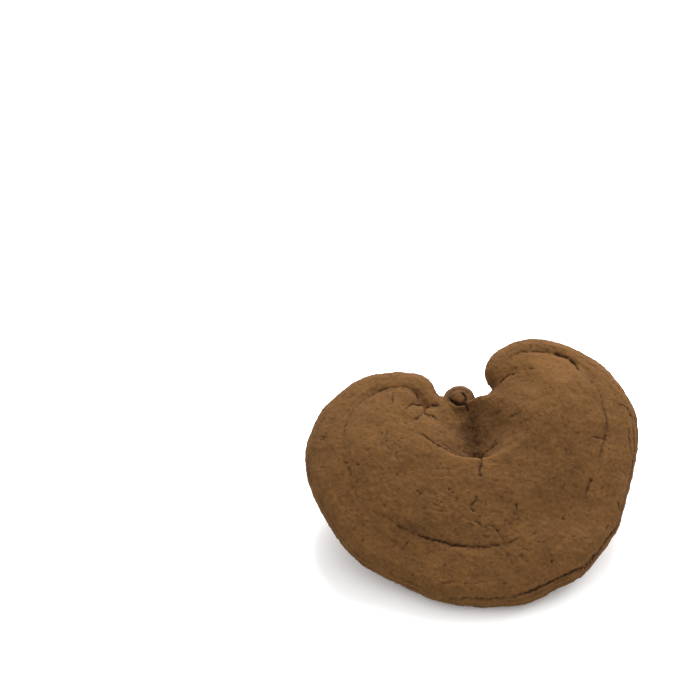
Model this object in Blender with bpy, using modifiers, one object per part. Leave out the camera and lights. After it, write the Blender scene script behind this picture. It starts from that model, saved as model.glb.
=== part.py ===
# Bracket fungus, dried whole: a kidney-shaped cap that grew sideways from one short stalk.
# It is one piece. The cap leans forwards, and the body stands on the cap's front edge and on
# the cut foot of the stalk.
#
# Sizes are in millimetres. On the cap, a runs from left to right, b from the front edge to the
# back, and c upwards from the middle of the edge, all before the cap is leant forwards.

import math

import bmesh
import bpy
import numpy as np
from mathutils import Matrix, Vector, noise

MM = 0.001

# Driving dimensions
CAP_LEAN = math.radians(17.0)
EDGE_RADIUS = 6.0          # half the thickness of the rounded edge
CROWN_RISE = 4.6           # how far the upper side swells above the edge's own height
CROWN_REACH = 26.0         # distance from the edge over which it swells
BELLY_RISE = 1.4           # the same for the pored underside
BELLY_REACH = 22.0
BARREN_RIM = 7.0           # width of the poreless rim under the edge
PORE_STEP = 0.6            # how far the pores lie in from that rim
STAND_WEAR = 0.3           # depth of the flat that the front edge stands on

# The cap's outline, seen square to the cap, anticlockwise from the front
OUTLINE = [
    (5, -4), (18, -3.5), (26, -1.5), (34, 2.5), (44, 8.5), (51, 16.5), (59, 27), (64, 38),
    (68, 50.5), (71.5, 63), (73, 74.5), (71.5, 86), (66, 98), (57, 108.5), (47, 115), (36, 118.5),
    (25, 118.3), (16, 115), (9.8, 109), (8.2, 103), (9.8, 98), (11.3, 95.2), (8.5, 92), (4.5, 91.6),
    (1.2, 89.8), (-2.5, 87.8), (-6, 89), (-9.5, 91.6), (-11.8, 91), (-13.2, 94.5), (-16, 99),
    (-22, 102.3), (-31, 103.3), (-41.5, 101.5), (-51, 95.5), (-60, 86.5), (-66, 74), (-68.5, 61),
    (-66.5, 47), (-61, 34), (-54, 22.5), (-45, 13.5), (-34, 8), (-25, 3.8), (-17, -0.8), (-6, -3.8),
]

# The growth line: the furrow between the rounded outer roll and the older cap inside it.
# Each point has its place, the furrow's depth, and how far the roll stands above the inside.
GROWTH_LINE = [
    (-18, 83, 2.4, 0.6), (-19, 86.5, 2.0, 0.6), (-22.5, 90.5, 1.4, 0.6), (-28, 92.3, 1.0, 0.6),
    (-35, 91.3, 0.9, 0.6), (-40.5, 89.5, 0.8, 0.5), (-45, 85.5, 0.6, 0.4), (-49.5, 80, 0.5, 0.3),
    (-52, 73, 0.4, 0.2), (-52.5, 64, 0.3, 0.2), (-51.5, 54, 0.3, 0.2), (-47.5, 42, 0.3, 0.3),
    (-41, 33.5, 0.3, 0.2), (-33.5, 28, 0.3, 0.1), (-25, 24.5, 0.6, 0.0), (-17, 22, 0.8, 0.0),
    (-9, 19.5, 0.8, 0.0), (-1, 18, 0.8, 0.0), (6, 18, 0.7, 0.0), (14, 19, 0.5, 0.0),
    (20, 21.5, 0.4, 0.0), (28, 25, 0.3, 0.2), (38, 33, 0.2, 0.2), (47.5, 43, 0.5, 0.3),
    (53, 54, 0.9, 0.3), (56.5, 65, 0.9, 0.3), (57.5, 71.5, 0.9, 0.3), (56.5, 78, 0.6, 0.2),
    (55, 88, 0.5, 0.3), (51.5, 98, 1.0, 0.5), (47.5, 103, 1.7, 0.8), (43.5, 106, 1.8, 0.8),
    (38, 108.7, 1.5, 0.8), (31, 110, 1.1, 0.6), (24.5, 110, 0.8, 0.4), (18.5, 109, 0.5, 0.2),
]
GROWTH_WIDTH = 1.4         # half the width of the furrow
GROWTH_BANK = 9.0          # how far the step beside it runs out

# Folds and cracks wide enough to see from a step away: half width, depth, route
FOLDS = {
    "lobe tip": (1.1, 0.6, [(10.5, 93.8), (15, 97.6), (19, 99.3), (23, 99.8), (28, 100.5)]),
    "knuckle to notch": (1.2, 1.6, [(-18, 83), (-15.5, 84), (-12.5, 84.7), (-10.5, 87)]),
    "knuckle below": (1.2, 1.6, [(-18, 82.5), (-16, 78.7), (-12.5, 75)]),
    "knuckle left": (1.1, 1.2, [(-18, 83), (-21, 84.5), (-24, 83.2), (-28, 81.5)]),
    "lobe left": (1.1, 0.8, [(-18.5, 80), (-20, 77), (-24, 74.7), (-28, 74.3)]),
    "crest ledge": (1.2, 1.2, [(-17, 66.3), (-12, 63.2), (-6.5, 60.8), (-1, 59.8), (3, 59.8)]),
    "valley lip": (1.0, 1.2, [(3.3, 59), (3.4, 56), (3.6, 52), (4, 47)]),
}
FOLD_ENDS = 0.15           # share of its depth that a fold keeps at its ends

# Swellings and hollows of the upper side: middle, reach along and across, turn, height
SWELLINGS = {
    "left lobe": (-33, 62, 18, 16, 0, 2.8),
    "left shoulder": (-13, 58, 13, 7, -25, 0.9),
    "right lobe": (36, 77, 20, 22, -10, 5.2),
    "front hollow": (-8, 19, 26, 10, -3, -2.4),
    "right hollow": (37, 35, 18, 10, 20, -3.2),
    "right front ridge": (49, 19, 12, 4.5, 38, 1.2),
    "middle": (4, 46, 26, 12, 0, 1.2),
}

# The valley that runs forwards from the notch between the lobes. Its middle line gives a for
# places b from its tip to the notch, and its banks start at the widths given left and right.
VALLEY_TIP = 57.5
VALLEY_FLOOR = -3.6        # height of its floor
VALLEY_THIN = 0.7          # how far the floor may sink towards the underside near the edge
VALLEY_WALL = 2.4          # how quickly it drops behind its tip
VALLEY_HOLLOW = (1.6, 2.2) # above 1 its left and its right bank steepen towards the floor
VALLEY_SOFTNESS = 0.14     # roundness of its floor, as a share of the banks' widths
VALLEY_LINE = [
    (57.5, 3.3), (62, 2.8), (66, 1.2), (71, 0.6), (76, -0.6), (81, -1.2), (86, -2), (92, -3),
]
VALLEY_BANKS = [
    (57.5, 5, 5), (59, 10, 9), (62, 15, 16), (66, 17, 23), (70, 16, 27), (76, 15, 27), (85, 14, 20),
    (91, 12, 12), (97, 10, 7),
]

# Where the whole cap is lifted towards its left edge: middle, reach, height
EDGE_LIFTS = [(-60, 32, 24, 30, 4.2), (-60, 75, 25, 25, 1.5)]

# The stalk: x, y, z and radius as it stands, from below the ground into the cap
STALK = [
    (-3, 97, -6, 11.0), (-3.2, 96.5, 5, 9.6), (-3, 95.5, 14, 8.8), (-1.8, 92, 25, 6.7),
    (-1, 84, 23.5, 5.2), (0, 76, 22, 4.0),
]
STALK_ROOT = (-1, 84, 19, 20, 7.0)  # the swelling of the underside that it grows from

# Natural unevenness of the whole body: reach and height of its lumps
LUMPS = [(24.0, 0.9), (9.0, 0.35)]

SLAB_HALF = 5.0            # half the thickness of the flat slab that the cap is shaped from
SLAB_GRAIN = 1.0           # fineness of the slab's mesh
BODY_GRAIN = 0.8           # fineness of the mesh that joins cap and stalk
SOFTENING = 2              # rounds of smoothing over the join
BODY_TRIANGLES = 9000
WELD_GAP = 0.01            # points closer than this are one point
FRONT_ZONE = 40.0          # depth of the cap's front, which touches the ground
GROUND_SLACK = 0.12        # points this close to the ground lie on it
CRUST_COLOUR = (0.090, 0.041, 0.0125, 1.0)
CRUST_ROUGHNESS = 0.92


def clearScene():
    for thing in list(bpy.data.objects):
        bpy.data.objects.remove(thing)


def newCollection(name):
    collection = bpy.data.collections.new(name)
    bpy.context.scene.collection.children.link(collection)
    return collection


def crustMaterial():
    material = bpy.data.materials.new("spore_dusted_crust")
    material.use_nodes = True
    shader = material.node_tree.nodes["Principled BSDF"]
    shader.inputs["Base Color"].default_value = CRUST_COLOUR
    shader.inputs["Roughness"].default_value = CRUST_ROUGHNESS
    shader.inputs["Metallic"].default_value = 0.0
    return material


def newObject(name, data, collection):
    thing = bpy.data.objects.new(name, data)
    collection.objects.link(thing)
    return thing


def meshOf(thing):
    """The object's mesh with its modifiers in place; the object itself is removed."""
    graph = bpy.context.evaluated_depsgraph_get()
    mesh = bpy.data.meshes.new_from_object(thing.evaluated_get(graph))
    mesh.transform(thing.matrix_world)
    bpy.data.objects.remove(thing)
    return mesh


def meshOfCurve(name, curve, collection):
    """The curve's mesh, with its loose caps welded on."""
    mesh = meshOf(newObject(name, curve, collection))
    shape = bmesh.new()
    shape.from_mesh(mesh)
    bmesh.ops.remove_doubles(shape, verts=shape.verts, dist=WELD_GAP * MM)
    bmesh.ops.recalc_face_normals(shape, faces=shape.faces)
    shape.to_mesh(mesh)
    shape.free()
    return mesh


def addSmoothSpline(curve, places, radii, closed):
    spline = curve.splines.new("BEZIER")
    spline.bezier_points.add(len(places) - 1)
    for point, place, radius in zip(spline.bezier_points, places, radii):
        point.co = Vector(place) * MM
        point.radius = radius
        point.handle_left_type = "AUTO"
        point.handle_right_type = "AUTO"
    spline.use_cyclic_u = closed


def remeshed(mesh, grain, collection):
    """One closed skin of even faces round everything in the mesh."""
    thing = newObject("draft", mesh, collection)
    remesh = thing.modifiers.new("skin", "REMESH")
    remesh.mode = "VOXEL"
    remesh.voxel_size = grain * MM
    return meshOf(thing)


def thinned(mesh, triangles, collection):
    """The same form with fewer, larger faces where it is plain."""
    mesh.calc_loop_triangles()
    share = triangles / len(mesh.loop_triangles)
    thing = newObject("draft", mesh, collection)
    thin = thing.modifiers.new("thin", "DECIMATE")
    thin.ratio = share
    thin.use_collapse_triangulate = True
    return meshOf(thing)


def readPoints(mesh):
    points = np.empty(len(mesh.vertices) * 3)
    mesh.vertices.foreach_get("co", points)
    return points.reshape(-1, 3) / MM


def writePoints(mesh, points):
    mesh.vertices.foreach_set("co", (points * MM).ravel())
    mesh.update()


def smoothStep(value):
    value = np.clip(value, 0, 1)
    return value * value * (3 - 2 * value)


def smoothRoute(points, closed=False, pieces=8):
    """A Catmull-Rom curve through the points, whose further columns are carried along."""
    route = np.array(points, dtype=float)
    if closed:
        padded = np.vstack([route[-1:], route, route[:2]])
    else:
        padded = np.vstack([2 * route[0] - route[1], route, 2 * route[-1] - route[-2]])
    steps = np.linspace(0, 1, pieces, endpoint=False)[:, None]
    stretches = []
    for index in range(len(padded) - 3):
        before, start, end, after = padded[index:index + 4]
        bend = 2 * before - 5 * start + 4 * end - after
        twist = 3 * start - before - 3 * end + after
        curve = (end - before) * steps + bend * steps ** 2 + twist * steps ** 3
        stretches.append(start + curve / 2)
    stretches.append(padded[-2:-1])
    return np.vstack(stretches)


def alongRoute(a, b, route):
    """For each place: its distance from the route, its side, and the route's other columns."""
    nearest = np.full(len(a), np.inf)
    side = np.zeros(len(a))
    carried = np.zeros((len(a), route.shape[1] - 2))
    for start, end in zip(route[:-1], route[1:]):
        runA, runB = end[:2] - start[:2]
        share = ((a - start[0]) * runA + (b - start[1]) * runB) / (runA ** 2 + runB ** 2)
        share = np.clip(share, 0, 1)
        offA = a - start[0] - share * runA
        offB = b - start[1] - share * runB
        distance = np.hypot(offA, offB)
        nearer = distance < nearest
        nearest[nearer] = distance[nearer]
        side[nearer] = np.sign(runA * offB - runB * offA)[nearer]
        values = start[2:] + share[:, None] * (end[2:] - start[2:])
        carried[nearer] = values[nearer]
    return nearest, side, carried


def swelling(a, b, middleA, middleB, reachA, reachB, turn=0):
    turn = math.radians(turn)
    along = (a - middleA) * math.cos(turn) + (b - middleB) * math.sin(turn)
    across = (b - middleB) * math.cos(turn) - (a - middleA) * math.sin(turn)
    return np.exp(-(along / reachA) ** 2 - (across / reachB) ** 2)


def growthRelief(a, b):
    distance, side, carried = alongRoute(a, b, smoothRoute(GROWTH_LINE))
    depth, step = carried.T
    furrow = depth * np.exp(-(distance / GROWTH_WIDTH) ** 2)
    bank = np.tanh(distance / GROWTH_WIDTH) * np.exp(-(distance / GROWTH_BANK) ** 2)
    return -furrow - side * bank * step / 2


def foldRelief(a, b):
    relief = np.zeros(len(a))
    for width, depth, route in FOLDS.values():
        shares = np.linspace(0, 1, len(route))[:, None]
        distance, _, carried = alongRoute(a, b, smoothRoute(np.hstack([route, shares])))
        share = carried[:, 0]
        fade = np.minimum(4 * share * (1 - share) + FOLD_ENDS, 1)
        relief -= depth * fade * np.exp(-(distance / width) ** 2)
    return relief


def valleyShare(a, b):
    """How far each place has sunk, from the cap's surface, 0, to the valley's floor, 1."""
    line = smoothRoute(VALLEY_LINE)
    banks = smoothRoute(VALLEY_BANKS)
    middle = np.interp(b, line[:, 0], line[:, 1])
    left = np.interp(b, banks[:, 0], banks[:, 1])
    right = np.interp(b, banks[:, 0], banks[:, 2])
    away = (a - middle) / np.where(a < middle, left, right)
    sunk = 1 + VALLEY_SOFTNESS - np.hypot(away, VALLEY_SOFTNESS)
    hollow = np.where(a < middle, *VALLEY_HOLLOW)
    return np.clip(sunk, 0, 1) ** hollow * smoothStep((b - VALLEY_TIP) / VALLEY_WALL)


def shapeCap(points):
    """Turns the flat slab into the cap, with its rounded edge, crown, valley and underside."""
    a, b, c = points.T
    margin = alongRoute(a, b, smoothRoute(OUTLINE, closed=True))[0]
    inside = smoothStep(margin / (1.2 * EDGE_RADIUS))
    rounding = EDGE_RADIUS * np.sqrt(1 - (1 - np.clip(margin / EDGE_RADIUS, 0, 1)) ** 2)

    relief = growthRelief(a, b) + foldRelief(a, b)
    for *place, height in SWELLINGS.values():
        relief += height * swelling(a, b, *place)
    crown = rounding + CROWN_RISE * smoothStep(margin / CROWN_REACH) + relief * inside
    floor = np.clip(VALLEY_FLOOR, -VALLEY_THIN * rounding, rounding)
    top = crown + (floor - crown) * valleyShare(a, b)

    belly = rounding + BELLY_RISE * smoothStep(margin / BELLY_REACH)
    belly -= PORE_STEP * smoothStep(margin - BARREN_RIM + 1)
    belly += STALK_ROOT[-1] * swelling(a, b, *STALK_ROOT[:-1]) * inside

    level = c / SLAB_HALF
    height = level * np.where(level > 0, top, belly)
    for *place, lift in EDGE_LIFTS:
        height += lift * swelling(a, b, *place)
    return np.column_stack([a, b, height])


def capMesh(collection):
    outline = bpy.data.curves.new("cap_outline", "CURVE")
    outline.dimensions = "2D"
    outline.fill_mode = "BOTH"
    outline.extrude = SLAB_HALF * MM
    outline.resolution_u = 6
    places = [(a, b, 0) for a, b in OUTLINE]
    addSmoothSpline(outline, places, [1] * len(places), closed=True)
    mesh = remeshed(meshOfCurve("cap_outline", outline, collection), SLAB_GRAIN, collection)
    writePoints(mesh, shapeCap(readPoints(mesh)))
    mesh.transform(Matrix.Translation((0, 0, EDGE_RADIUS * MM)) @ Matrix.Rotation(CAP_LEAN, 4, "X"))
    return mesh


def stalkMesh(collection):
    path = bpy.data.curves.new("stalk_path", "CURVE")
    path.dimensions = "3D"
    path.bevel_depth = MM
    path.bevel_resolution = 6
    path.use_fill_caps = True
    path.resolution_u = 8
    addSmoothSpline(path, [point[:3] for point in STALK], [point[3] for point in STALK], closed=False)
    return meshOfCurve("stalk_path", path, collection)


def joined(meshes):
    shape = bmesh.new()
    for mesh in meshes:
        shape.from_mesh(mesh)
    both = bpy.data.meshes.new("joined")
    shape.to_mesh(both)
    shape.free()
    return both


def soften(mesh, rounds):
    shape = bmesh.new()
    shape.from_mesh(mesh)
    for _ in range(rounds):
        bmesh.ops.smooth_vert(shape, verts=shape.verts, factor=0.5,
                              use_axis_x=True, use_axis_y=True, use_axis_z=True)
    shape.to_mesh(mesh)
    shape.free()


def addLumps(mesh):
    normals = np.empty(len(mesh.vertices) * 3)
    mesh.vertices.foreach_get("normal", normals)
    points = readPoints(mesh)
    swell = np.zeros(len(points))
    for reach, height in LUMPS:
        swell += [height * noise.noise(Vector(point) / reach) for point in points]
    writePoints(mesh, points + normals.reshape(-1, 3) * swell[:, None])


def cutLevel(mesh, height):
    """Cuts away what is below the height and closes each cut with a flat face."""
    shape = bmesh.new()
    shape.from_mesh(mesh)
    whole = shape.verts[:] + shape.edges[:] + shape.faces[:]
    bmesh.ops.bisect_plane(shape, geom=whole, plane_co=(0, 0, height * MM), plane_no=(0, 0, 1),
                           dist=WELD_GAP * MM, clear_inner=True)
    rims = [edge for edge in shape.edges if edge.is_boundary]
    bmesh.ops.holes_fill(shape, edges=rims, sides=0)
    bmesh.ops.triangulate(shape, faces=shape.faces)
    shape.to_mesh(mesh)
    shape.free()


def setOnGround(mesh):
    """Moves the body so that the middle of its box, seen from above, is the origin."""
    points = readPoints(mesh)
    low, high = points.min(axis=0), points.max(axis=0)
    points -= ((low[0] + high[0]) / 2, (low[1] + high[1]) / 2, low[2])
    points[points[:, 2] < GROUND_SLACK, 2] = 0
    writePoints(mesh, points)


def fruitingBody(collection):
    mesh = joined([capMesh(collection), stalkMesh(collection)])
    mesh = remeshed(mesh, BODY_GRAIN, collection)
    soften(mesh, SOFTENING)
    addLumps(mesh)
    points = readPoints(mesh)
    frontLow = points[points[:, 1] < FRONT_ZONE, 2].min()
    cutLevel(mesh, frontLow + STAND_WEAR)
    mesh = thinned(mesh, BODY_TRIANGLES, collection)
    setOnGround(mesh)
    mesh.name = "fruiting_body"
    mesh.shade_smooth()
    mesh.materials.clear()
    mesh.materials.append(crustMaterial())
    return newObject("fruiting_body", mesh, collection)


clearScene()
fruitingBody(newCollection("bracket_fungus"))
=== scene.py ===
import math

import bmesh
import bpy
import numpy as np
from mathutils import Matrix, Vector, kdtree, noise


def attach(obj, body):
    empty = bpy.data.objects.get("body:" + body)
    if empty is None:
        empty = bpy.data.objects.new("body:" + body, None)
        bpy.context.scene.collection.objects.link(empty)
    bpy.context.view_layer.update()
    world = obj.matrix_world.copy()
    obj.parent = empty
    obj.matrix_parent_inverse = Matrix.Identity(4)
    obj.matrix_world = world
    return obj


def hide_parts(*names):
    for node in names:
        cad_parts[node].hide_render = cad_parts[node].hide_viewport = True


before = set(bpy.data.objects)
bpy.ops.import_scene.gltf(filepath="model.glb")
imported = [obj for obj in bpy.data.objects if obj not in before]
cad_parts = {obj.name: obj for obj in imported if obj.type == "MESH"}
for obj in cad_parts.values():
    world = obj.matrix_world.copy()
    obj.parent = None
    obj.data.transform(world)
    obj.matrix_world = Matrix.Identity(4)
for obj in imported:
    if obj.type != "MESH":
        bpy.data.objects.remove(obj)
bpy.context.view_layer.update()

# Lengths are in millimetres until a mesh is written. On the cap, x runs from left to right and
# "along" from front to back, both in the plane of the cap, which leans forwards.
mm = 0.001
capLean = math.radians(17)
upTurn = math.radians(44)   # the knob's folds are laid out square to this slope


def readPoints(mesh):
    points = np.empty(len(mesh.vertices) * 3)
    mesh.vertices.foreach_get("co", points)
    return points.reshape(-1, 3) / mm


def writePoints(mesh, points):
    mesh.vertices.foreach_set("co", (points * mm).ravel())
    mesh.update()


def readNormals(mesh):
    normals = np.empty(len(mesh.vertices) * 3)
    mesh.vertices.foreach_get("normal", normals)
    return normals.reshape(-1, 3)


def tilted(points, angle):
    along = points[:, 1] * math.cos(angle) + points[:, 2] * math.sin(angle)
    height = points[:, 2] * math.cos(angle) - points[:, 1] * math.sin(angle)
    return points[:, 0], along, height


def smoothStep(values, low=0.0, high=1.0):
    share = np.clip((values - low) / (high - low), 0, 1)
    return share * share * (3 - 2 * share)


def unevenness(points, reach, shift=0.0):
    places = (points / reach + shift).tolist()
    return np.array([noise.noise(place) for place in places])


def smoothRoute(points, pieces=6):
    route = np.array(points, dtype=float)
    padded = np.vstack([2 * route[0] - route[1], route, 2 * route[-1] - route[-2]])
    steps = np.linspace(0, 1, pieces, endpoint=False)[:, None]
    stretches = []
    for index in range(len(padded) - 3):
        before, start, end, after = padded[index:index + 4]
        bend = 2 * before - 5 * start + 4 * end - after
        twist = 3 * start - before - 3 * end + after
        stretches.append(start + (end - before) * steps / 2 + bend * steps ** 2 / 2
                         + twist * steps ** 3 / 2)
    stretches.append(padded[-2:-1])
    return np.vstack(stretches)


def alongRoute(plane, route, reach):
    # the points within reach of the route, how far off it they are, and how far along, 0 to 1
    low, high = route.min(axis=0) - reach, route.max(axis=0) + reach
    near = np.flatnonzero(np.all((plane > low) & (plane < high), axis=1))
    spots = plane[near]
    nearest = np.full(len(near), np.inf)
    place = np.zeros(len(near))
    lengths = np.hypot(*np.diff(route, axis=0).T)
    travelled = np.concatenate([[0], np.cumsum(lengths)])
    for index, (start, end) in enumerate(zip(route[:-1], route[1:])):
        run = end - start
        share = np.clip((spots - start) @ run / (run @ run + 1e-12), 0, 1)
        distance = np.hypot(*(spots - start - share[:, None] * run).T)
        nearer = distance < nearest
        nearest[nearer] = distance[nearer]
        place[nearer] = (travelled[index] + share[nearer] * lengths[index]) / travelled[-1]
    return near, nearest, place


def groove(depths, plane, route, halfWidth, depth, ends=0.2):
    # the deepest groove wins where grooves meet, so that crossings don't turn into holes
    near, distance, place = alongRoute(plane, route, 3.5 * halfWidth)
    fade = np.clip(5 * np.minimum(place, 1 - place) + ends, 0, 1)
    cut = depth * fade * np.exp(-(distance / halfWidth) ** 1.6)
    depths[near] = np.maximum(depths[near], cut)


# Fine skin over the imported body
skin = {
    "voxel": 0.44,              # spacing of the points that carry the detail
    "softening": 10,            # rounds of smoothing that take the facets out of the solid
    "triangles": 192000,
    "rimUpright": 0.14,         # how upright a face is that counts as the outermost edge
    "lumps": [(9.0, 0.30), (4.2, 0.22), (2.0, 0.20), (1.1, 0.16), (0.7, 0.09)],   # reach, height
    "ripples": (10.0, 1.7, 0.14),    # length along the growth, across it, height
    "wobble": [(3.4, 0.45), (1.1, 0.34)],   # how cracks stray from their routes: reach, amount
    "pits": (1.15, 0.36, 0.62, 0.24),      # reach, where the noise turns to pits, full pits, depth
    "grains": (1.0, 0.34, 0.62, 0.17),     # the same for the powder's grains, with their height
    "groundBand": 0.7,          # no relief this close to the ground
    "stalkMiddle": (-4, 30),    # the cap grew outwards from here, on the cap's plane
}

# Cracks and creases seen in the photo: half width, depth, route on the cap's plane
creases = {
    "front growth": (0.50, 0.95, [
        (-26.5, -26.5), (-21.5, -28.5), (-15.5, -30), (-10.5, -31.5), (-6.5, -32), (-1, -33)]),
    "front growth, right": (0.42, 0.55, [(-3, -32.5), (5, -32.5), (11, -31.5), (14.5, -30.5), (18, -29)]),
    "front growth, left": (0.36, 0.3, [(-39.5, -19.5), (-35, -22), (-31, -24.5), (-26.5, -26.5)]),
    "left growth, top": (0.38, 0.45, [
        (-21, 33), (-22.5, 34.5), (-23.5, 37.5), (-26, 40.5), (-30, 41.5), (-36.5, 40.5), (-42.5, 37.5),
        (-47, 33.5)]),
    "left growth, side": (0.36, 0.32, [
        (-45, 36), (-49.5, 30.5), (-51.5, 27), (-53.5, 21.5), (-54.5, 17.5), (-55, 13.5)]),
    "left growth, low": (0.38, 0.38, [(-55, 7.5), (-54, 3.5), (-52.5, 1.5), (-52, -1), (-51, -4)]),
    "knuckle right": (0.45, 0.9, [(-20, 32), (-18, 33), (-14, 34)]),
    "knuckle left": (0.42, 0.75, [(-20, 32), (-21.5, 33), (-24.5, 32.5), (-26.5, 31.5), (-29, 29)]),
    "knuckle down": (0.4, 0.7, [(-20, 32), (-20, 28.5), (-17.5, 27.5), (-14.5, 25.5)]),
    "knuckle down left": (0.38, 0.45, [(-20.5, 29), (-22.5, 26.5), (-25, 24)]),
    "lobe crack": (0.38, 0.5, [(-33, 38.5), (-34, 34.5), (-34, 31)]),
    "left lobe crack": (0.36, 0.35, [(-28.5, 17.5), (-25.5, 18.5), (-24.5, 21)]),
    "crest": (0.5, 0.8, [(-24, 18), (-19, 14.5), (-15, 12.5), (-11, 11), (-6.5, 10), (-2, 9.5), (2.5, 9.5)]),
    "crest, broken": (0.45, 0.5, [(-14, 14.5), (-9, 12.5), (-4, 11.5), (1, 12)]),
    "crest right": (0.45, 0.6, [(2.5, 9.5), (4.5, 12.5), (8, 14.5), (11, 16)]),
    "lip": (0.38, 0.75, [(2.3, 8), (2.6, 4.5), (1.8, 0.5), (2.4, -3.5)]),
    "valley": (1.2, 0.3, [(-1.5, 35.5), (0, 31), (1, 27), (1.5, 22.5), (2, 17), (2.3, 11)]),
    "valley right": (0.42, 0.35, [(14.5, 25.5), (17, 26.5), (20.5, 26)]),
    "hook": (0.4, 0.5, [(17, 56), (19, 57), (22, 58), (27.5, 58.5), (33.5, 58), (37, 57)]),
    "hook, deep end": (0.55, 1.0, [(35, 57.5), (38.5, 56.8), (41.5, 55.3), (44, 52.5), (47, 47.5)]),
    "hook, outer": (0.38, 0.3, [(18.5, 60.5), (23, 61.5), (29.5, 61.5), (36.5, 60.5), (43.5, 57.5), (47.5, 54)]),
    "lobe fold": (0.48, 0.7, [(11.5, 43.5), (13.5, 45), (16.5, 47), (19.5, 47.5)]),
    "lobe fold, back": (0.4, 0.4, [(23, 48.5), (27, 48.5)]),
    "right growth": (0.38, 0.4, [
        (52.5, 39), (54.5, 35), (55, 29.5), (56, 25.5), (56, 20.5), (55, 16), (53, 10.5), (52, 4)]),
    "right growth, branch": (0.4, 0.5, [(49, 15.5), (53.5, 15.5), (56, 15)]),
    "right growth, low": (0.4, 0.45, [(48, -3), (46, -7.5), (45, -9.5)]),
    "right growth, end": (0.42, 0.4, [(37.5, -17.5), (35.5, -20)]),
    "right edge, upper": (0.4, 0.55, [(61, 33), (65.5, 32), (67, 29.5), (67.5, 27)]),
    "right edge, low": (0.38, 0.45, [(58.5, -11), (59.5, -14), (59.5, -15.5)]),
    "middle": (0.4, 0.7, [(0, -11.5), (-1, -14.5), (-2.5, -16), (-1.5, -18), (0, -18.5)]),
    "middle, left": (0.38, 0.5, [(-3, -15), (-3, -18.5)]),
    "middle, slanting": (0.36, 0.45, [(-1, -22), (2, -24)]),
    "middle, low": (0.38, 0.5, [(5.5, -24), (8, -26), (10, -29), (11, -31)]),
    "middle, right": (0.4, 0.7, [(16, -14), (16.5, -18)]),
    "middle, faint": (0.36, 0.3, [(4.5, -19.5), (8, -18), (11, -19)]),
    "inner left": (0.36, 0.45, [(-18, -17.5), (-16, -18), (-12.5, -18)]),
    "front left": (0.36, 0.4, [(-30.5, -33.5), (-28, -30)]),
    "front": (0.36, 0.3, [(-15.5, -48), (-11, -47.5)]),
    "left edge": (0.38, 0.5, [(-64, 17), (-61.5, 16.5)]),
    "left edge, low": (0.36, 0.35, [(-64.5, 15), (-62.5, 15.5)]),
    "left wrinkle": (0.36, 0.4, [(-37.5, 6.5), (-34, 7.5)]),
    "left wrinkle, up": (0.36, 0.35, [(-36, 17.5), (-37, 13.5)]),
    "left wrinkle, bent": (0.36, 0.35, [(-47, 9), (-45, 7.5), (-43.5, 8.5)]),
    "inner wrinkle": (0.34, 0.3, [(-11, 3), (-11.5, 1), (-11, -1.5)]),
    "right lobe wrinkle": (0.36, 0.3, [(29, 26), (30.5, 22.5)]),
    "right front wrinkle": (0.38, 0.4, [(53, -23.5), (54.5, -22)]),
}

# The line where the crust's outer layer ends, running all round the right of the rim
edgeLines = {
    "top": (0.38, 0.3, [(47.5, 54.5), (56, 49), (62.5, 41), (66, 36)]),
    "right": (0.42, 0.5, [(67, 30), (68, 22), (68, 15.5), (67.5, 10), (66, 4), (65, -1), (63, -7.5)]),
    "right, inner": (0.38, 0.4, [(66, 23), (65.5, 18.5), (65.5, 14), (66, 9.5)]),
    "front right": (0.5, 1.1, [
        (61.5, -14), (59, -20.5), (53.5, -28), (49, -34), (44, -39.5), (36, -43.5), (29, -47),
        (21.5, -50.5), (15.5, -52.5), (11, -53.5)]),
    "front": (0.4, 0.5, [(13, -53), (8, -53.5), (-3.5, -53.5), (-11.5, -53.5), (-17, -52.5)]),
}
rimLayers = [(0.52, 0.26), (0.18, 0.34), (-0.22, 0.3)]   # uprightness of the face, depth

# Pits and bumps that stand out: place, reach, height
spots = [
    (-52.5, 1.5, 0.9, 0.45), (-17.5, -19, 1.1, 0.55), (-34, -24, 1.2, 0.4), (-37.5, -18.5, 1.3, 0.5),
    (-48.5, 1.5, 0.6, -0.4), (-24, -9.5, 0.5, -0.45), (-23, -10.5, 0.5, -0.4), (-11, -8.5, 0.5, -0.4),
    (-9.5, -10, 0.5, -0.35), (12, -36.5, 0.7, -0.4), (18, -36.5, 0.6, -0.35), (30, -38.5, 0.6, -0.5),
    (35.5, -20, 0.6, -0.4), (17, -21, 0.6, -0.4), (23.5, -27, 0.5, -0.4), (-26.5, -44, 0.5, -0.35),
    (-13.5, -40.5, 0.7, -0.3), (-5, -48, 0.5, -0.4), (-3, -50.5, 0.5, -0.4), (20, -39, 0.6, -0.3),
    (-32.5, -2.5, 0.5, -0.35), (48, -3, 0.7, -0.5), (19.5, 29.5, 1.2, 0.35),
]

# Painted shading patches: above zero darker, painted shade in the valley, at the knob and in hollows, partly
# thinner dust; below zero lighter, painted light on the hook and lobes: middle, reach across and along, amount
paintedShadingAndDust = [
    (0, 25, 5, 12, 0.65), (-6, 13, 9, 3, 0.4), (-20, -11, 7, 5, 0.16), (-26, -23, 8, 4, 0.22),
    (-6, -28, 15, 4, 0.18), (34, -2, 9, 7, 0.14), (42, -12, 9, 5, 0.2), (13, -37, 6, 5, 0.14),
    (-6, 43, 6, 6, 0.5), (30, 50, 16, 7, -0.45), (33, 34, 16, 9, -0.2), (-33, 20, 16, 9, -0.12),
]

# Hair cracks scattered over the crust: middle, reach, how many, and the share that runs with
# the growth lines instead of across them
hairCracks = [
    ((-34, 11), 9, 16, 0.45), ((-5, -12), 24, 22, 0.6), ((30, 5), 26, 18, 0.6),
    ((0, -40), 40, 30, 0.85), ((36, 42), 17, 10, 0.7), ((-30, 25), 18, 14, 0.5),
    ((-5, 14), 8, 14, 0.6),
]
hairCrack = {"seed": 31, "length": (1.0, 3.8), "halfWidth": (0.25, 0.33), "depth": (0.12, 0.34)}

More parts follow.
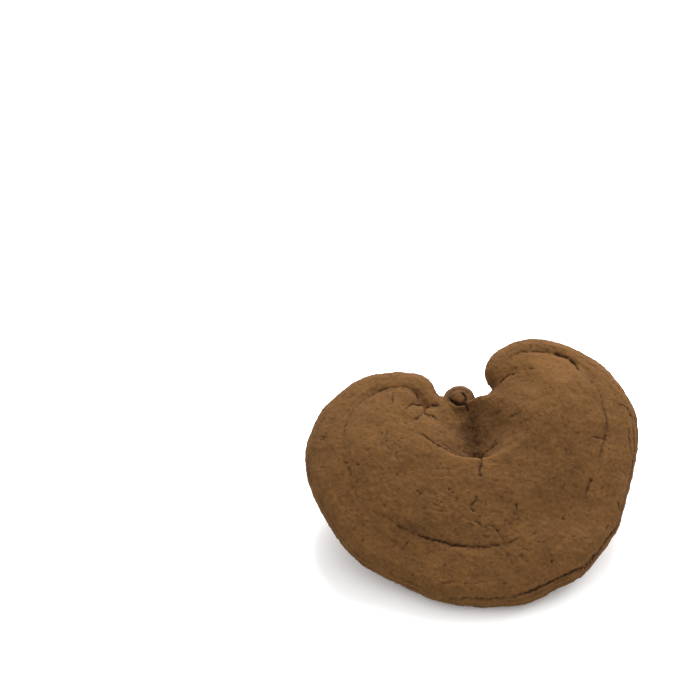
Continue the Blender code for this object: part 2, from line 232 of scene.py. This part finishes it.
# The top of the stalk behind the notch: half width, depth, route seen square to the slope
knobFolds = {
    "outer curl": (0.6, 0.55, [(-9, 46.5), (-8, 48), (-6.5, 49), (-4, 49.3), (-1.5, 48.5), (-0.5, 47)]),
    "hook": (0.55, 1.3, [(-4, 47.5), (-2.6, 46.8), (-2, 45), (-2.8, 43.3)]),
    "cleft": (0.6, 1.6, [(-9.5, 44.5), (-6.5, 43), (-4.5, 42.6), (-3, 43), (-2, 42)]),
    "tail": (0.5, 0.9, [(-2.4, 42.4), (-1.7, 41), (-1.3, 39.5)]),
}
knobBox = ((-12, 24, 25), (5, 46, 36))   # x, y and z of the lowest and highest corner


def fineMesh(node):
    # the solid with its facets rounded off, as an even mesh
    thing = bpy.data.objects.new("skinDraft", node.data.copy())
    bpy.context.scene.collection.objects.link(thing)
    thing.data.materials.clear()
    weld = thing.modifiers.new("weld", "WELD")
    weld.merge_threshold = 0.005 * mm
    rounder = thing.modifiers.new("rounder", "SUBSURF")
    rounder.levels = 2
    remesh = thing.modifiers.new("remesh", "REMESH")
    remesh.mode = "VOXEL"
    remesh.voxel_size = skin["voxel"] * mm
    smooth = thing.modifiers.new("smooth", "SMOOTH")
    smooth.iterations = skin["softening"]
    smooth.factor = 0.5
    graph = bpy.context.evaluated_depsgraph_get()
    mesh = bpy.data.meshes.new_from_object(thing.evaluated_get(graph))
    bpy.data.objects.remove(thing)
    return mesh


def edgeDistance(x, along, height, facing, points):
    # distance from the outermost edge of the cap, measured in the cap's plane
    stalk = (np.hypot(x + 5, along - 42) < 15) & (points[:, 2] < 30)
    rim = np.flatnonzero((np.abs(facing) < skin["rimUpright"]) & (np.abs(height - 23.5) < 5) & ~stalk)
    tree = kdtree.KDTree(len(rim))
    for index, (a, b) in enumerate(zip(x[rim].tolist(), along[rim].tolist())):
        tree.insert((a, b, 0), index)
    tree.balance()
    return np.array([tree.find((a, b, 0))[2] for a, b in zip(x.tolist(), along.tolist())])


def hairCrackRoutes():
    # short crooked lines with their own width and depth
    draw = np.random.default_rng(hairCrack["seed"])
    for middle, reach, count, share in hairCracks:
        for _ in range(count):
            place = np.array(middle) + draw.normal(0, reach / 2, 2)
            outwards = place - skin["stalkMiddle"]
            heading = math.atan2(outwards[1], outwards[0])
            if draw.random() < share:
                heading += math.pi / 2
            heading += draw.normal(0, 0.4)
            steps = 5
            step = draw.uniform(*hairCrack["length"]) / steps
            route = [place]
            for _ in range(steps):
                heading += draw.normal(0, 0.45)
                route.append(route[-1] + step * np.array([math.cos(heading), math.sin(heading)]))
            width, depth = draw.uniform(*hairCrack["halfWidth"]), draw.uniform(*hairCrack["depth"])
            yield np.array(route), width, depth


def blob(x, along, middleX, middleAlong, reachX, reachAlong):
    return np.exp(-((x - middleX) / reachX) ** 2 - ((along - middleAlong) / reachAlong) ** 2)


def speckles(points, reach, rarity, full, shift):
    # small separate specks where the noise peaks
    return smoothStep(unevenness(points, reach, shift), rarity, full)


def neighbourMean(values, edges):
    # each point's mean over the points that it shares an edge with
    total = np.zeros_like(values)
    np.add.at(total, edges[:, 0], values[edges[:, 1]])
    np.add.at(total, edges[:, 1], values[edges[:, 0]])
    count = np.bincount(edges.ravel(), minlength=len(values))
    return total / np.maximum(count, 1)[:, None]


def hollows(mesh, rounds):
    # how far each point lies below the mean of the surface round it
    edges = np.empty(len(mesh.edges) * 2, dtype=np.int32)
    mesh.edges.foreach_get("vertices", edges)
    edges = edges.reshape(-1, 2)
    points = readPoints(mesh)
    mean = points
    for _ in range(rounds):
        mean = neighbourMean(mean, edges)
    return np.einsum("ij,ij->i", mean - points, readNormals(mesh))


def setAttribute(mesh, name, values):
    attribute = mesh.attributes.new(name, "FLOAT", "POINT")
    attribute.data.foreach_set("value", values.astype(np.float32))


def skinMesh():
    mesh = fineMesh(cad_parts["fruiting_body"])
    print("even mesh:", len(mesh.vertices), "points")
    points, normals = readPoints(mesh), readNormals(mesh)
    x, along, height = tilted(points, capLean)
    facing = tilted(normals, capLean)[2]
    upper = smoothStep(facing, -0.05, 0.35)
    under = smoothStep(-facing, 0.45, 0.8)
    inwards = edgeDistance(x, along, height, facing, points)
    print("edge found")

    plane = np.column_stack([x, along])
    for index, (reach, amount) in enumerate(skin["wobble"]):
        shift = 40.0 * index
        plane[:, 0] += amount * unevenness(points, reach, shift + 7.3)
        plane[:, 1] += amount * unevenness(points, reach, shift + 19.1)

    depths = np.zeros(len(points))
    for width, depth, route in list(creases.values()) + list(edgeLines.values()):
        groove(depths, plane, smoothRoute(route), width, depth)
    for route, width, depth in hairCrackRoutes():
        groove(depths, plane, route, width, depth)
    broken = 0.8 + 0.5 * unevenness(points, 2.6, 71.0) + 0.5 * unevenness(points, 1.1, 37.0)
    depths *= upper * np.clip(broken, 0.3, 1.15)

    layered = smoothStep(-np.abs(inwards - 1.5), -6.0, -3.0)
    sway = 0.12 * unevenness(points, 12.0, 5.5) + 0.05 * unevenness(points, 3.0, 9.5)
    layers = np.zeros(len(points))
    for level, depth in rimLayers:
        strength = smoothStep(unevenness(points, 14.0, 60 * level), -0.25, 0.2)
        line = np.exp(-((facing + sway - level) / 0.085) ** 2)
        layers = np.maximum(layers, depth * line * strength)
    depths = np.maximum(depths, layers * layered)

    knobPlane = np.column_stack(tilted(points, upTurn)[:2])
    knobDepths = np.zeros(len(points))
    for width, depth, route in knobFolds.values():
        groove(knobDepths, knobPlane, smoothRoute(route), width, depth, ends=0.4)
    low, high = np.array(knobBox)
    inKnob = np.all((points > low) & (points < high), axis=1)
    knobFacing = tilted(normals, upTurn)[2]
    depths = np.maximum(depths, knobDepths * inKnob * smoothStep(knobFacing, 0.0, 0.4))
    print("creases, hair cracks, rim layers and knob folds cut")

    relief = np.zeros(len(points))
    for index, (reach, amount) in enumerate(skin["lumps"]):
        relief += amount * unevenness(points, reach, 13.0 * index)
    length, across, amount = skin["ripples"]
    offX, offAlong = x - skin["stalkMiddle"][0], along - skin["stalkMiddle"][1]
    bearing = np.arctan2(offAlong, offX)
    ring = np.column_stack([np.cos(bearing) * 45 / length, np.sin(bearing) * 45 / length,
                            inwards / across])
    relief += amount * unevenness(ring, 1.0, 3.3) * smoothStep(inwards, 1.0, 4.0)
    relief *= 1 - 0.45 * under
    for middleX, middleAlong, reach, rise in spots:
        spot = upper * blob(x, along, middleX, middleAlong, reach, reach)
        relief += max(rise, 0) * spot
        depths += max(-rise, 0) * spot
    reach, rarity, full, amount = skin["grains"]
    relief += amount * speckles(points, reach, rarity, full, 31.0)
    reach, rarity, full, amount = skin["pits"]
    pitted = smoothStep(unevenness(ring, 0.7, 8.8), -0.1, 0.45) * smoothStep(facing, -0.6, 0.1)
    wobbled = np.column_stack([plane, height])
    depths += amount * pitted * speckles(wobbled, reach, rarity, full, 53.0)
    # painted shade and painted light from the patches, with some thinner dust at the knob
    paintedShadingAndBareness = np.zeros(len(points))
    for middleX, middleAlong, reachX, reachAlong, amount in paintedShadingAndDust:
        paintedShadingAndBareness += amount * upper * blob(x, along, middleX, middleAlong, reachX, reachAlong)

    ground = smoothStep(points[:, 2], 0.1, skin["groundBand"])
    writePoints(mesh, points + normals * ((relief - depths) * ground)[:, None])
    moved = readPoints(mesh)
    flat = (points[:, 2] < 0.35) & (normals[:, 2] < -0.6)
    moved[flat, 2] = 0
    moved[:, 2] = np.maximum(moved[:, 2], 0)
    writePoints(mesh, moved)
    print("relief raised")

    poreBed = under * smoothStep(inwards, 5.0, 7.5)
    foot = flat & (points[:, 1] > 0)
    # painted shade: the colour darkens along the cracks, creases, folds and pits, the more the deeper they are
    # cut
    setAttribute(mesh, "creviceShade", np.clip(depths / 0.8, 0, 1))
    # painted shade: the colour darkens in hollows of the surface, plus the painted shading patches
    setAttribute(mesh, "paintedShading", np.clip(0.5 + hollows(mesh, 8) / 0.5 + paintedShadingAndBareness, 0, 2))
    setAttribute(mesh, "poreBed", poreBed)
    setAttribute(mesh, "cutFoot", foot.astype(float))
    return mesh


def thinned(mesh, triangles):
    # fewer faces where the skin is plain, so that the cracks keep theirs
    mesh.calc_loop_triangles()
    thing = bpy.data.objects.new("thinDraft", mesh)
    bpy.context.scene.collection.objects.link(thing)
    thin = thing.modifiers.new("thin", "DECIMATE")
    thin.ratio = min(1.0, triangles / len(mesh.loop_triangles))
    thin.use_collapse_triangulate = True
    graph = bpy.context.evaluated_depsgraph_get()
    result = bpy.data.meshes.new_from_object(thing.evaluated_get(graph))
    bpy.data.objects.remove(thing)
    return result


def link(tree, start, output, end, target):
    tree.links.new(start.outputs[output], end.inputs[target])


def dustGroup():
    # powdery colour: large faint patches, fine grain, and painted shade in hollows and cracks, mixed in as the
    # darker colour
    group = bpy.data.node_groups.new("sporeDust", "ShaderNodeTree")
    face = group.interface
    for name, kind, default in [
        ("Dust", "NodeSocketColor", (0.5, 0.5, 0.5, 1)), ("Bare And Shade", "NodeSocketColor", (0.2, 0.2, 0.2, 1)),
        ("Patch Size", "NodeSocketFloat", 9.0), ("Grain Size", "NodeSocketFloat", 0.6),
        ("Contrast", "NodeSocketFloat", 0.3), ("Crevice Shade", "NodeSocketFloat", 0.0),
        ("Painted Shading", "NodeSocketFloat", 0.5),
    ]:
        socket = face.new_socket(name, in_out="INPUT", socket_type=kind)
        socket.default_value = default
    for name, kind in [("Color", "NodeSocketColor"), ("Roughness", "NodeSocketFloat"),
                       ("Height", "NodeSocketFloat")]:
        face.new_socket(name, in_out="OUTPUT", socket_type=kind)
    nodes = group.nodes
    given, result = nodes.new("NodeGroupInput"), nodes.new("NodeGroupOutput")
    coordinates = nodes.new("ShaderNodeTexCoord")
    inMillimetres = nodes.new("ShaderNodeVectorMath")
    inMillimetres.operation = "SCALE"
    inMillimetres.inputs["Scale"].default_value = 1 / mm
    link(group, coordinates, "Object", inMillimetres, 0)

    def texture(sizeSocket, detail, roughness):
        divide = nodes.new("ShaderNodeMath")
        divide.operation = "DIVIDE"
        divide.inputs[0].default_value = 1
        link(group, given, sizeSocket, divide, 1)
        pattern = nodes.new("ShaderNodeTexNoise")
        pattern.inputs["Detail"].default_value = detail
        pattern.inputs["Roughness"].default_value = roughness
        link(group, inMillimetres, 0, pattern, "Vector")
        link(group, divide, 0, pattern, "Scale")
        return pattern

    def maths(operation, first, second):
        node = nodes.new("ShaderNodeMath")
        node.operation = operation
        for index, value in enumerate((first, second)):
            if isinstance(value, (int, float)):
                node.inputs[index].default_value = value
            else:
                group.links.new(value, node.inputs[index])
        return node.outputs[0]

    patches = texture("Patch Size", 3.0, 0.55)
    grain = texture("Grain Size", 4.0, 0.7)
    patchShare = maths("SUBTRACT", patches.outputs["Fac"], 0.5)
    grainShare = maths("SUBTRACT", grain.outputs["Fac"], 0.5)
    both = maths("ADD", maths("MULTIPLY", patchShare, 1.5), maths("MULTIPLY", grainShare, 1.9))
    randomTone = maths("MULTIPLY", both, given.outputs["Contrast"])
    # painted shade: cracks and hollows take more of the darker colour, and the painted light patches take less
    paintedShadingShare = maths("ADD", maths("MULTIPLY", given.outputs["Crevice Shade"], 0.62),
                      maths("MULTIPLY", maths("SUBTRACT", given.outputs["Painted Shading"], 0.5), 0.5))
    total = nodes.new("ShaderNodeClamp")
    group.links.new(maths("SUBTRACT", maths("ADD", paintedShadingShare, 0.28), randomTone), total.inputs["Value"])
    mix = nodes.new("ShaderNodeMix")
    mix.data_type = "RGBA"
    group.links.new(total.outputs[0], mix.inputs["Factor"])
    group.links.new(given.outputs["Dust"], mix.inputs["A"])
    group.links.new(given.outputs["Bare And Shade"], mix.inputs["B"])
    group.links.new(mix.outputs["Result"], result.inputs["Color"])
    roughness = maths("SUBTRACT", 0.97, maths("MULTIPLY", total.outputs[0], 0.14))
    group.links.new(roughness, result.inputs["Roughness"])
    group.links.new(grain.outputs["Fac"], result.inputs["Height"])
    return group


# Finishes: dust colour, the darker colour for bare crust and painted shade, sizes in millimetres, and the depth
# of the fine bump
finishes = {
    "sporeDustedCrust": {
        "dust": (0.124, 0.0580, 0.0176), "bareAndShade": (0.030, 0.0120, 0.0040), "patch": 6.0, "grain": 0.62,
        "contrast": 0.50, "bump": 0.30, "sheen": 0.03, "specular": 0.1,
    },
    "poreLayer": {
        "dust": (0.170, 0.100, 0.048), "bareAndShade": (0.060, 0.030, 0.013), "patch": 14.0, "grain": 0.9,
        "contrast": 0.30, "bump": 0.12, "sheen": 0.03, "specular": 0.15,
        "poreSize": 0.42,
    },
    "cutFlesh": {
        "dust": (0.145, 0.082, 0.038), "bareAndShade": (0.055, 0.027, 0.011), "patch": 5.0, "grain": 0.6,
        "contrast": 0.5, "bump": 0.2, "sheen": 0.02, "specular": 0.2,
        "fibre": 0.5,
    },
}


def newMaterial(name, group):
    values = finishes[name]
    material = bpy.data.materials.new(name)
    material.use_nodes = True
    tree = material.node_tree
    shader = tree.nodes["Principled BSDF"]
    shader.inputs["Specular IOR Level"].default_value = values["specular"]
    shader.inputs["Sheen Weight"].default_value = values["sheen"]
    shader.inputs["Sheen Roughness"].default_value = 0.5
    shader.inputs["Sheen Tint"].default_value = (0.62, 0.42, 0.26, 1)
    dust = tree.nodes.new("ShaderNodeGroup")
    dust.node_tree = group
    dust.inputs["Dust"].default_value = (*values["dust"], 1)
    dust.inputs["Bare And Shade"].default_value = (*values["bareAndShade"], 1)
    dust.inputs["Patch Size"].default_value = values["patch"]
    dust.inputs["Grain Size"].default_value = values["grain"]
    dust.inputs["Contrast"].default_value = values["contrast"]
    for name, target in [("creviceShade", "Crevice Shade"), ("paintedShading", "Painted Shading")]:
        attribute = tree.nodes.new("ShaderNodeAttribute")
        attribute.attribute_name = name
        link(tree, attribute, "Fac", dust, target)
    bump = tree.nodes.new("ShaderNodeBump")
    bump.inputs["Strength"].default_value = 1.0
    bump.inputs["Distance"].default_value = values["bump"] * mm
    link(tree, dust, "Height", bump, "Height")
    link(tree, dust, "Color", shader, "Base Color")
    link(tree, dust, "Roughness", shader, "Roughness")
    link(tree, bump, "Normal", shader, "Normal")
    return material, dust, bump


def crustMaterial(group):
    return newMaterial("sporeDustedCrust", group)[0]


def poreMaterial(group):
    # closely set round pores, with painted shade inside them
    material, dust, bump = newMaterial("poreLayer", group)
    tree = material.node_tree
    coordinates = tree.nodes.new("ShaderNodeTexCoord")
    pores = tree.nodes.new("ShaderNodeTexVoronoi")
    pores.inputs["Scale"].default_value = 1 / (finishes["poreLayer"]["poreSize"] * mm)
    pores.inputs["Randomness"].default_value = 0.75
    link(tree, coordinates, "Object", pores, "Vector")
    ramp = tree.nodes.new("ShaderNodeMapRange")
    ramp.inputs["From Min"].default_value = 0.18
    ramp.inputs["From Max"].default_value = 0.48
    link(tree, pores, "Distance", ramp, "Value")
    poreShade = tree.nodes.new("ShaderNodeMix")
    poreShade.data_type = "RGBA"
    poreShade.inputs["A"].default_value = (0.030, 0.015, 0.007, 1)
    shader = tree.nodes["Principled BSDF"]
    tree.links.new(ramp.outputs["Result"], poreShade.inputs["Factor"])
    tree.links.new(dust.outputs["Color"], poreShade.inputs["B"])
    tree.links.new(poreShade.outputs["Result"], shader.inputs["Base Color"])
    poreBump = tree.nodes.new("ShaderNodeBump")
    poreBump.inputs["Distance"].default_value = 0.15 * mm
    link(tree, ramp, "Result", poreBump, "Height")
    link(tree, bump, "Normal", poreBump, "Normal")
    link(tree, poreBump, "Normal", shader, "Normal")
    return material


def cutMaterial(group):
    # torn fibres run across the cut
    material, dust, bump = newMaterial("cutFlesh", group)
    tree = material.node_tree
    coordinates = tree.nodes.new("ShaderNodeTexCoord")
    stretch = tree.nodes.new("ShaderNodeMapping")
    stretch.inputs["Scale"].default_value = (0.25, 1, 1)
    stretch.inputs["Rotation"].default_value = (0, 0, 0.5)
    link(tree, coordinates, "Object", stretch, "Vector")
    fibres = tree.nodes.new("ShaderNodeTexNoise")
    fibres.inputs["Scale"].default_value = 1 / (finishes["cutFlesh"]["fibre"] * mm)
    fibres.inputs["Detail"].default_value = 3
    link(tree, stretch, "Vector", fibres, "Vector")
    fibreBump = tree.nodes.new("ShaderNodeBump")
    fibreBump.inputs["Distance"].default_value = 0.2 * mm
    link(tree, fibres, "Fac", fibreBump, "Height")
    link(tree, bump, "Normal", fibreBump, "Normal")
    link(tree, fibreBump, "Normal", tree.nodes["Principled BSDF"], "Normal")
    return material


def faceShares(mesh, name):
    # a vertex attribute's mean over each face, all of them triangles
    values = np.empty(len(mesh.vertices), dtype=np.float32)
    mesh.attributes[name].data.foreach_get("value", values)
    corners = np.empty(len(mesh.loops), dtype=np.int32)
    mesh.loops.foreach_get("vertex_index", corners)
    return values[corners].reshape(-1, 3).mean(axis=1)


def fungusPiece():
    mesh = thinned(skinMesh(), skin["triangles"])
    mesh.name = "bracket_fungus"
    print("thinned to", len(mesh.polygons), "triangles")
    group = dustGroup()
    for material in (crustMaterial(group), poreMaterial(group), cutMaterial(group)):
        mesh.materials.append(material)
    kinds = np.zeros(len(mesh.polygons), dtype=np.int32)
    kinds[faceShares(mesh, "poreBed") > 0.5] = 1
    kinds[faceShares(mesh, "cutFoot") > 0.5] = 2
    mesh.polygons.foreach_set("material_index", kinds)
    mesh.shade_smooth()
    piece = bpy.data.objects.new("bracket_fungus", mesh)
    bpy.context.scene.collection.objects.link(piece)
    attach(piece, "root")
    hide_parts("fruiting_body")
    return piece


# Studio: a glossy white table, white surroundings, and two broad soft lights behind the fungus
studio = {
    "floorSize": 6.0, "floorColour": (0.96, 0.96, 0.96, 1), "floorRoughness": 0.28,
    "surroundings": 1.2,
}
softboxes = {   # where each stands, its size and its power
    "backLight": ((0.098, 1.114, 0.843), 0.7, 30.0),
    "rightLight": ((0.981, 0.566, 0.823), 0.7, 9.0),
}


def buildFloor():
    mesh = bpy.data.meshes.new("table")
    shape = bmesh.new()
    bmesh.ops.create_grid(shape, x_segments=1, y_segments=1, size=studio["floorSize"] / 2)
    shape.to_mesh(mesh)
    shape.free()
    floor = bpy.data.objects.new("table", mesh)
    bpy.context.scene.collection.objects.link(floor)
    material = bpy.data.materials.new("whiteTable")
    material.use_nodes = True
    shader = material.node_tree.nodes["Principled BSDF"]
    shader.inputs["Base Color"].default_value = studio["floorColour"]
    shader.inputs["Roughness"].default_value = studio["floorRoughness"]
    mesh.materials.append(material)


def buildLights():
    for name, (place, size, power) in softboxes.items():
        lamp = bpy.data.lights.new(name, "AREA")
        lamp.size = size
        lamp.energy = power
        softbox = bpy.data.objects.new(name, lamp)
        bpy.context.scene.collection.objects.link(softbox)
        softbox.location = place
        softbox.rotation_euler = (-Vector(place)).to_track_quat("-Z", "Y").to_euler()
    world = bpy.data.worlds.new("surroundings")
    world.use_nodes = True
    world.node_tree.nodes["Background"].inputs["Color"].default_value = (1, 1, 1, 1)
    world.node_tree.nodes["Background"].inputs["Strength"].default_value = studio["surroundings"]
    bpy.context.scene.world = world
    bpy.context.scene.view_settings.view_transform = "Standard"


# The photo was taken from the front, looking down 44 degrees
view = {"place": (-0.051775, -0.553323, 0.625829), "down": 44.0, "lens": 100.0, "sensor": 36.0}


def buildCamera():
    lens = bpy.data.cameras.new("camera")
    lens.lens = view["lens"]
    lens.sensor_width = view["sensor"]
    lens.clip_start = 0.02
    lens.clip_end = 20
    camera = bpy.data.objects.new("camera", lens)
    bpy.context.scene.collection.objects.link(camera)
    camera.location = view["place"]
    camera.rotation_euler = (math.radians(90 - view["down"]), 0, 0)
    bpy.context.scene.camera = camera


buildCamera()
buildFloor()
buildLights()
print("camera and studio ready")
fungusPiece()
print("fungus ready")
